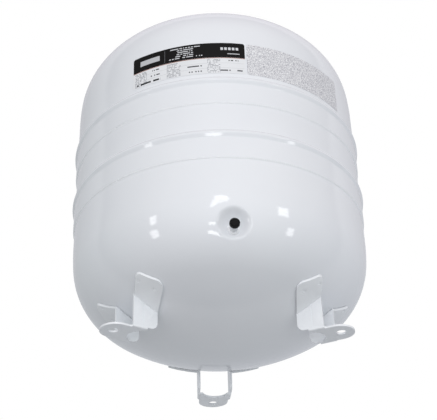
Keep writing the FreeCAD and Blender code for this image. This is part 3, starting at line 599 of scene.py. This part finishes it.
gridPiece("water_connection_thread",
          spun(profile, azimuths, np.where(np.arange(len(profile)) < len(outside), 1, 0)[:, None]
               * threadCut(profile, azimuths, c["threadFoot"], c["top"] + 0.6, c["pitch"], c["cut"])),
          "zinc_plated_steel", node="water_connection", sharp=50)

# the connection's weld: a quarter round from the top dome up the shank, rippled, with its root in the dome
topDome = {"centre": 204.025, "radius": 293.238}
connectionWeld = {"leg": 3.0, "height": 0.98, "sunk": 0.3, "ripples": 62, "ripple": 0.3, "seed": 5}
w = connectionWeld
azimuths = around(360)
face = np.radians(np.linspace(0, 90, 9))
radii = shank + w["leg"] * np.cos(face)
ground = topDome["centre"] + np.sqrt(topDome["radius"] ** 2 - radii ** 2)
line = np.stack([radii, ground + w["leg"] * np.sin(face) * w["height"]], axis=1)
profile = np.concatenate([line, [[shank - 0.02, ground[-1] - w["sunk"]],
                                 [shank + w["leg"] * 0.6, ground[3] - w["sunk"]]]])
share = np.concatenate([np.sin(2 * face), [0, 0]])[:, None]
gridPiece("connection_weld_bead",
          spun(profile, azimuths, -share * weldRipple(azimuths, w["ripples"], w["ripple"], w["seed"])),
          "painted_weld", node="connection_weld", sharp=60)
print("connection made")

# Gas valve: radius and distance out along its axis.
valve = {"height": 87.0, "stemIn": 174.142, "stemStep": 175.742, "stemOut": 196.392, "stem": 3.85,
         "head": 5.05, "bore": 2.65, "seat": 2.0, "seatAt": 183.992, "threadIn": 192, "pitch": 0.8,
         "threadCut": 0.42, "chamfer": 0.5}
v = valve
outside = chain(run((v["seat"], v["stemIn"]), (v["head"], v["stemIn"]), 3),
                run((v["head"], v["stemIn"]), (v["head"], v["stemStep"]), 3),
                run((v["head"], v["stemStep"]), (v["stem"], v["stemStep"]), 3),
                run((v["stem"], v["stemStep"]), (v["stem"], v["threadIn"]), 4),
                run((v["stem"], v["threadIn"]), (v["stem"], v["stemOut"] - v["chamfer"]), 60),
                run((v["stem"], v["stemOut"] - v["chamfer"]), (v["stem"] - v["chamfer"], v["stemOut"]), 5))
inside = chain(run((v["bore"], v["stemOut"]), (v["bore"], v["seatAt"]), 4),
               run((v["seat"], v["seatAt"]), (v["seat"], v["stemIn"] + 0.2), 3))
profile = chain(outside, inside)
azimuths = around(96)
cutting = np.where(np.arange(len(profile)) < len(outside), 1, 0)[:, None]
gridPiece("valve_stem_turned",
          spunOnValve(profile, azimuths,
                      cutting * threadCut(profile, azimuths, v["threadIn"] + 0.2, v["stemOut"] + 0.3,
                                          v["pitch"], v["threadCut"], hand=-1)),
          "painted_stub", flipped=True, node="valve_stem", sharp=50)

# the weld round the sleeve: a quarter round from the pocket's ball up the sleeve, rippled
sleeveWeld = {"radius": 5.17, "leg": 2.4, "sunk": 0.4, "ripples": 40, "ripple": 0.25, "seed": 11}
w = sleeveWeld
azimuths = around(200)
face = np.radians(np.linspace(0, 90, 8))[:, None]
radius = w["radius"] + w["leg"] * np.cos(face) + 0 * azimuths
sideways, level = radius * np.sin(azimuths), v["height"] + radius * np.cos(azimuths)
ball = dish["sphere"] ** 2 - sideways ** 2 - (level - dish["centre"][1]) ** 2
ground = dish["centre"][0] - np.sqrt(ball)
ripple = np.sin(2 * face) * weldRipple(azimuths, w["ripples"], w["ripple"], w["seed"])
rise = ground + (w["leg"] - ripple) * np.sin(face)
top = np.stack([sideways, -rise, level], axis=-1)
under = np.stack([sideways, w["sunk"] - ground, level], axis=-1)[::-1]
gridPiece("valve_stub_weld_bead", np.concatenate([top, under]) / 1000, "painted_weld", flipped=True,
          node="valve_stub_weld", sharp=60)

# the screw cap: a ribbed skirt, a stepped crown with a shallow hollow, and its bore
screwCap = {"low": 192.792, "top": 197.992, "radius": 6.35, "bore": 3.97, "in": 197.192, "ribs": 30,
            "rib": 0.32, "gripLow": 193.3, "gripHigh": 196.6, "foot": 0.3, "land": 196.75, "round": 0.35,
            "step": 5.25, "corner": 0.2, "hollow": 3.5, "hollowDepth": 0.4, "lip": 0.15}
k = screwCap
shelf = k["land"] + k["round"]
floorEdge, floorLevel = k["hollow"] - k["lip"], k["top"] - k["hollowDepth"]
outside = chain(run((k["bore"] + 0.2, k["low"]), (k["radius"] - k["foot"], k["low"]), 4),
                arc((k["radius"] - k["foot"], k["low"] + k["foot"]), k["foot"], -90, 0, 5),
                run((k["radius"], k["low"] + k["foot"]), (k["radius"], k["land"]), 14),
                arc((k["radius"] - k["round"], k["land"]), k["round"], 0, 90, 6),
                run((k["radius"] - k["round"], shelf), (k["step"] + k["corner"], shelf), 3),
                arc((k["step"] + k["corner"], shelf + k["corner"]), k["corner"], 270, 180, 4),
                arc((k["step"] - k["round"], k["top"] - k["round"]), k["round"], 0, 90, 6),
                run((k["step"] - k["round"], k["top"]), (k["hollow"] + k["corner"], k["top"]), 3),
                arc((k["hollow"] + k["corner"], k["top"] - k["lip"]), k["lip"], 90, 180, 3),
                arc((floorEdge, floorLevel + k["corner"]), k["corner"], 0, -90, 3),
                run((floorEdge, floorLevel), (0, floorLevel), 6))
inside = chain(run((0, k["in"]), (k["bore"], k["in"]), 4),
               run((k["bore"], k["in"]), (k["bore"], k["low"] + 0.2), 4))
profile = chain(inside, outside)
azimuths = around(360)
# ribs: a cosine of the azimuth, cut off on both sides, gives flat lands with narrow grooves between them
grip = np.clip(np.minimum(profile[:, 1] - k["gripLow"], k["gripHigh"] - profile[:, 1]) / 0.3, 0, 1)[:, None]
grip = grip * (profile[:, 0] > k["radius"] - 0.01)[:, None]
grooves = np.clip(-np.cos(k["ribs"] * azimuths) * 1.6 - 0.5, 0, 1)
gridPiece("valve_cap_moulded", spunOnValve(profile, azimuths, -k["rib"] * grip * grooves), "black_plastic",
          looped=False, flipped=True, node="valve_cap", body="cap", sharp=40)

# the return spring: a round wire along a helix, with the wire's own circle set square to the helix
spring = {"low": 187.142, "high": 191.642, "radius": 1.3, "wire": 0.15, "turns": 5, "steps": 160, "sides": 10}
angle = np.linspace(0, 2 * np.pi * spring["turns"], spring["steps"])
middle = np.stack([spring["radius"] * np.sin(angle),
                   -np.linspace(spring["low"], spring["high"], spring["steps"]),
                   valve["height"] + spring["radius"] * np.cos(angle)], axis=1)
ahead = np.gradient(middle, axis=0)
ahead /= np.linalg.norm(ahead, axis=1)[:, None]
outwards = np.stack([np.sin(angle), 0 * angle, np.cos(angle)], axis=1)
sideways = np.cross(ahead, outwards)
circle = np.linspace(0, 2 * np.pi, spring["sides"], endpoint=False)[None, :, None]
ring = middle[:, None] + spring["wire"] * (np.cos(circle) * outwards[:, None]
                                           + np.sin(circle) * sideways[:, None])
ends = [np.repeat(ring[[end]].mean(axis=1, keepdims=True), spring["sides"], axis=1) for end in (0, -1)]
coil = gridPiece("valve_core_spring_coil", np.concatenate([ends[0], ring, ends[1]]) / 1000, "spring_steel",
                 looped=False, node="valve_core_spring", body=None)
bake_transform(coil)
print("valve made")

# Diaphragm.
rubber = {"gap": 0.5, "thickness": 2.5, "rimIn": 192.0, "rimOut": 197.7, "rimLow": 277.082, "rimTop": 305.582,
          "crown": 60.0, "rimGap": 0.3}
near = shell["sheet"] + rubber["gap"]
far = near + rubber["thickness"]
wallOut = chain(run((wall - near, rubber["rimTop"]), (wall - near, shell["upperTangent"]), 12),
                pressedEnd(shell["upperTangent"], 1, near, rubber["crown"], (8, 24, 30)))
wallIn = chain(run((wall - far, rubber["rimTop"]), (wall - far, shell["upperTangent"]), 12),
               pressedEnd(shell["upperTangent"], 1, far, rubber["crown"], (8, 24, 30)))
bladder = gridPiece("diaphragm_wall_rubber", spun(chain(wallOut, wallIn[::-1]), around(180)), "butyl_rubber",
                    node="diaphragm_wall", body=None)
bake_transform(bladder)


# the dome inside a radius, at a depth below the shell
def domeLine(depth, reach, steps):
    radius = np.linspace(reach, 0, steps)
    height = topDome["centre"] + np.sqrt((topDome["radius"] - depth) ** 2 - radius ** 2)
    return np.stack([radius, height], axis=1)


gridPiece("diaphragm_crown_rubber",
          spun(chain(domeLine(near, rubber["crown"], 20)[::-1], domeLine(far, rubber["crown"], 20)),
               around(180)),
          "butyl_rubber", looped=False, flipped=True, node="diaphragm_crown", body="diaphragm_crown")
hollow = seamBead(shell["upperSeam"], shell["sheet"] + rubber["rimGap"], False)
hollow = hollow[hollow[:, 1] > bandRim + 0.01]
rimIn, rimOut, rimLow, rimTop = (rubber[key] for key in ("rimIn", "rimOut", "rimLow", "rimTop"))
rimLine = chain(run((rimIn, rimLow), (rimOut, rimLow), 3), run((rimOut, rimLow), (rimOut, bandRim), 3),
                run((hollow[0, 0], bandRim), hollow[0], 2), hollow,
                run((rimOut, rimTop), (rimIn, rimTop), 3), run((rimIn, rimTop), (rimIn, rimLow + 1), 6))
gridPiece("diaphragm_rim_rubber", spun(rimLine, around(240)), "butyl_rubber", node="diaphragm_rim")
print("diaphragm made")

# Labels: films bent to the shell, with rounded corners.
films = {"low": 310.082, "height": 51.0, "radius": 199.6, "thick": 0.2, "corner": 3.0, "columns": 81,
         "label": (-131.6, 153.9), "panel": (24.7, 154.6)}  # left end along the wall from -Y, and width


# a rounded rectangle: each row's half width is the whole one less the corner's arc; [row, across], both
# faces, bent round Z by arc length over the wall's radius
def film(name, node, finish, start, width):
    f = films
    bend = f["corner"] * (1 - np.cos(np.linspace(0, np.pi / 2, 7)))
    rows = np.concatenate([bend, np.linspace(f["corner"], f["height"] - f["corner"], 12)[1:-1],
                           f["height"] - bend[::-1]])
    inset = np.maximum(0, f["corner"] - np.minimum(rows, f["height"] - rows))
    half = width / 2 - f["corner"] + np.sqrt(np.maximum(f["corner"] ** 2 - inset ** 2, 0))
    share = np.linspace(-1, 1, f["columns"])
    across = width / 2 + half[:, None] * share
    across = np.concatenate([across, across[:, ::-1]], axis=1)
    level = np.repeat(rows[:, None], across.shape[1], axis=1)
    depth = np.repeat([f["thick"], 0], f["columns"]) + 0 * across
    # a row at half the thickness closes each end
    across, level = (np.concatenate([grid[:1], grid, grid[-1:]]) for grid in (across, level))
    edge = np.full((1, depth.shape[1]), f["thick"] / 2)
    depth = np.concatenate([edge, depth, edge])
    turn = (start + across) / wall
    radius = f["radius"] + depth
    points = np.stack([radius * np.sin(turn), -radius * np.cos(turn), f["low"] + level], axis=-1) / 1000
    prints = np.stack([across, level], axis=-1).reshape(-1, 2)
    gridPiece(name, points, finish, looped=False, node=node, prints=prints, sharp=30)


film("data_label_film", "data_label", "printed_label", *films["label"])
film("grained_panel_film", "grained_panel", "grained_panel", *films["panel"])
print("labels made")


# Feet: the bent sheet with its sheared edges broken.
sheetFeet = {"merge": 1e-6, "broken": 0.4,  # metres, and millimetres
             "flat": 0.4, "edge": 40, "sharp": 35}  # degrees


def eased(name, node, finish):
    f = sheetFeet
    mesh = nodes[node].data.copy()
    work = bmesh.new()
    work.from_mesh(mesh)
    bmesh.ops.remove_doubles(work, verts=work.verts, dist=f["merge"])
    bmesh.ops.dissolve_limit(work, angle_limit=math.radians(f["flat"]), verts=work.verts, edges=work.edges)
    work.to_mesh(mesh)
    work.free()
    mesh.name = name
    piece = bpy.data.objects.new(name, mesh)
    scene.collection.objects.link(piece)
    bevel = piece.modifiers.new("broken edges", "BEVEL")
    bevel.width = f["broken"] / 1000
    bevel.segments = 2
    bevel.limit_method = "ANGLE"
    bevel.angle_limit = math.radians(f["edge"])
    bevel.harden_normals = True
    mesh.polygons.foreach_set("use_smooth", np.ones(len(mesh.polygons), dtype=bool))
    mesh.set_sharp_from_angle(angle=math.radians(f["sharp"]))
    settled(piece, finish, node)


for node in ("foot_left", "foot_right", "foot_rear"):
    eased(node + "_sheet", node, "foot_enamel")
print("feet made")

# Camera.
view = {"place": (-0.1196, -1.2040, -0.5195), "heading": (0.0995, 0.9950), "rise": 31.62,
        "roll": -1.89, "lens": 82.62}
rise, roll = math.radians(view["rise"]), math.radians(view["roll"])
ahead = Vector((view["heading"][0] * math.cos(rise), view["heading"][1] * math.cos(rise), math.sin(rise)))
side = Vector((view["heading"][1], -view["heading"][0], 0)).normalized()
up = side.cross(ahead).normalized()
across = math.cos(roll) * side + math.sin(roll) * up
upright = -math.sin(roll) * side + math.cos(roll) * up
camera = bpy.data.objects.new("camera", bpy.data.cameras.new("camera"))
scene.collection.objects.link(camera)
camera.data.sensor_fit = "HORIZONTAL"
camera.data.sensor_width = 36
camera.data.lens = view["lens"]
camera.data.clip_start, camera.data.clip_end = 0.01, 50
turn = Matrix((across, upright, -ahead.normalized())).transposed().to_4x4()
camera.matrix_world = Matrix.Translation(view["place"]) @ turn
scene.camera = camera
print("camera set")

# Stage.
stage = {"floor": 8.0, "floorTone": "#f4f5f6", "reach": 30.0, "centre": (0, 0, 0.2), "backdrop": "#ffffff",
         "sweep": 0.5, "sweepLean": 0.07, "sweepDeep": 0.4, "sweepBend": 0.42, "sweepEdge": (0.14, 0.23)}
# soft banks of light: where each is brightest, and its colour there
banks = (((0, 0, 1), (0.29, 0.25, 0.34)), ((1, 0, 0), (0.36, 0.36, 0.43)), ((-1, 0, 0), (0.22, 0.29, 0.31)),
         ((0, 1, 0), (0.14, 0.16, 0.20)), ((0, -1, 0), (1.38, 1.43, 1.54)), ((1, 1, -1), (0.31, 0.32, 0.35)),
         ((1, -1, 1), (0.41, 0.36, 0.29)), ((1, -1, -1), (0.17, 0.20, 0.16)),
         ((-1, 1, -1), (0.18, 0.19, 0.19)), ((-1, -1, 1), (0.44, 0.41, 0.35)),
         ((-1, -1, -1), (0.32, 0.26, 0.26)))
scene.view_settings.view_transform = "Standard"
world = bpy.data.worlds.new("studio")
scene.world = world
world.use_nodes = True
tree = world.node_tree
tree.nodes.clear()
heading = add(tree, "ShaderNodeTexCoord")
total = None
# each bank fades as the cube of the cosine away from its middle
for place, colour in banks:
    middle = Vector(place).normalized()
    near = add(tree, "ShaderNodeVectorMath", {"operation": "DOT_PRODUCT", 1: middle},
               {0: heading.outputs["Generated"]})
    kept = add(tree, "ShaderNodeMath", {"operation": "MAXIMUM", 1: 0.0}, {0: near.outputs["Value"]})
    power = add(tree, "ShaderNodeMath", {"operation": "POWER", 1: 3.0}, {0: kept})
    shade = add(tree, "ShaderNodeVectorMath", {"operation": "SCALE", 0: colour}, {"Scale": power})
    total = shade if total is None else add(tree, "ShaderNodeVectorMath", {"operation": "ADD"},
                                            {0: total, 1: shade})
path = add(tree, "ShaderNodeLightPath")
# the pale sweep behind the vessel, which shows only as a shine: everything behind a line that bends back
# towards the floor
aside = add(tree, "ShaderNodeVectorMath", {"operation": "DOT_PRODUCT", 1: (stage["sweepLean"], 1.0, 0.0)},
            {0: heading.outputs["Generated"]})
below = add(tree, "ShaderNodeVectorMath", {"operation": "DOT_PRODUCT", 1: (0.0, 0.0, -1.0)},
            {0: heading.outputs["Generated"]})
deep = add(tree, "ShaderNodeMath", {"operation": "SUBTRACT", 1: stage["sweepDeep"]},
           {0: below.outputs["Value"]})
bent = add(tree, "ShaderNodeMath", {"operation": "MAXIMUM", 1: 0.0}, {0: deep})
line = add(tree, "ShaderNodeMath", {"operation": "MULTIPLY_ADD", 1: -stage["sweepBend"]},
           {0: bent, 2: aside.outputs["Value"]})
faint, full = stage["sweepEdge"]
behind = add(tree, "ShaderNodeMapRange", {"From Min": faint, "From Max": full, "To Min": 0.0,
                                          "To Max": stage["sweep"]}, {"Value": line})
shine = add(tree, "ShaderNodeMath", {"operation": "MULTIPLY"},
            {0: behind, 1: path.outputs["Is Glossy Ray"]})
total = add(tree, "ShaderNodeVectorMath", {"operation": "ADD"}, {0: total, 1: shine})
soft = add(tree, "ShaderNodeBackground", {"Strength": 1.0}, {"Color": total})
seen = add(tree, "ShaderNodeBackground", {"Color": linear(stage["backdrop"]), "Strength": 1.0})
mix = add(tree, "ShaderNodeMixShader", {}, {0: path.outputs["Is Camera Ray"], 1: soft, 2: seen})
add(tree, "ShaderNodeOutputWorld", {}, {"Surface": mix})


# a softbox that shows only as a shine on the enamel: azimuth from -Y towards +X and height above level,
# then its own width and height, all in degrees, its brightness, and its turn in its own plane (degrees)
def softbox(name, azimuth, height, width, tall, strength, spin=0.0):
    lamp = bpy.data.lights.new(name, "AREA")
    lamp.shape = "RECTANGLE"
    lamp.size = 2 * stage["reach"] * math.tan(math.radians(width / 2))
    lamp.size_y = 2 * stage["reach"] * math.tan(math.radians(tall / 2))
    lamp.energy = strength * math.pi * lamp.size * lamp.size_y
    piece = bpy.data.objects.new(name, lamp)
    scene.collection.objects.link(piece)
    a, h = math.radians(azimuth), math.radians(height)
    away = Vector((math.sin(a) * math.cos(h), -math.cos(a) * math.cos(h), math.sin(h)))
    turned = away.to_track_quat("Z", "Y").to_matrix().to_4x4() @ Matrix.Rotation(math.radians(spin), 4, "Z")
    piece.matrix_world = Matrix.Translation(Vector(stage["centre"]) + away * stage["reach"]) @ turned
    piece.visible_diffuse = False
    piece.visible_camera = False


# the main softbox is louvred: height of each slat, and the azimuths of its ends
slats = ((21.7, -7.6, 1.8), (19.5, -8.5, 1.9), (17.3, -9.1, 1.3), (15.1, -9.7, -1.5), (12.9, -10.3, -4.8),
         (10.7, -10.9, -6.6), (8.7, -11.4, -8.6))
slat = {"tall": 1.6, "strength": 6.5}
for k, (height, left, right) in enumerate(slats):
    softbox(f"main softbox slat {k}", (left + right) / 2, height, right - left, slat["tall"],
            slat["strength"])
for lamp in (("low main softbox", -7, -18, 11, 4.5, 6), ("lowest main softbox", -7, -33, 14, 4.5, 7, -32),
             ("left lamp", -53, 3, 5, 12, 5.5), ("low left lamp", -54.5, -16.5, 6, 11, 5.5),
             ("right lamp", 41.6, 8.7, 8, 12, 5.5), ("low right lamp", 49.5, -16, 5, 11, 5.5)):
    softbox(*lamp)

# the floor: pale matt board, clear from below, where the camera is, and outside the light's own paths
ground = bpy.data.materials.new("matt white board")
ground.use_nodes = True
tree = ground.node_tree
tree.nodes.clear()
matt = add(tree, "ShaderNodeBsdfDiffuse", {"Color": linear(stage["floorTone"])})
clear = add(tree, "ShaderNodeBsdfTransparent")
side = add(tree, "ShaderNodeNewGeometry")
mix = add(tree, "ShaderNodeMixShader", {}, {0: side.outputs["Backfacing"], 1: matt, 2: clear})
add(tree, "ShaderNodeOutputMaterial", {}, {"Surface": mix})
half = stage["floor"] / 2
mesh = bpy.data.meshes.new("floor")
mesh.from_pydata([(-half, -half, 0), (half, -half, 0), (half, half, 0), (-half, half, 0)], [], [(0, 1, 2, 3)])
floor = bpy.data.objects.new("floor", mesh)
floor.data.materials.append(ground)
scene.collection.objects.link(floor)
floor.visible_diffuse = floor.visible_glossy = floor.visible_shadow = floor.visible_transmission = False
print("stage set")
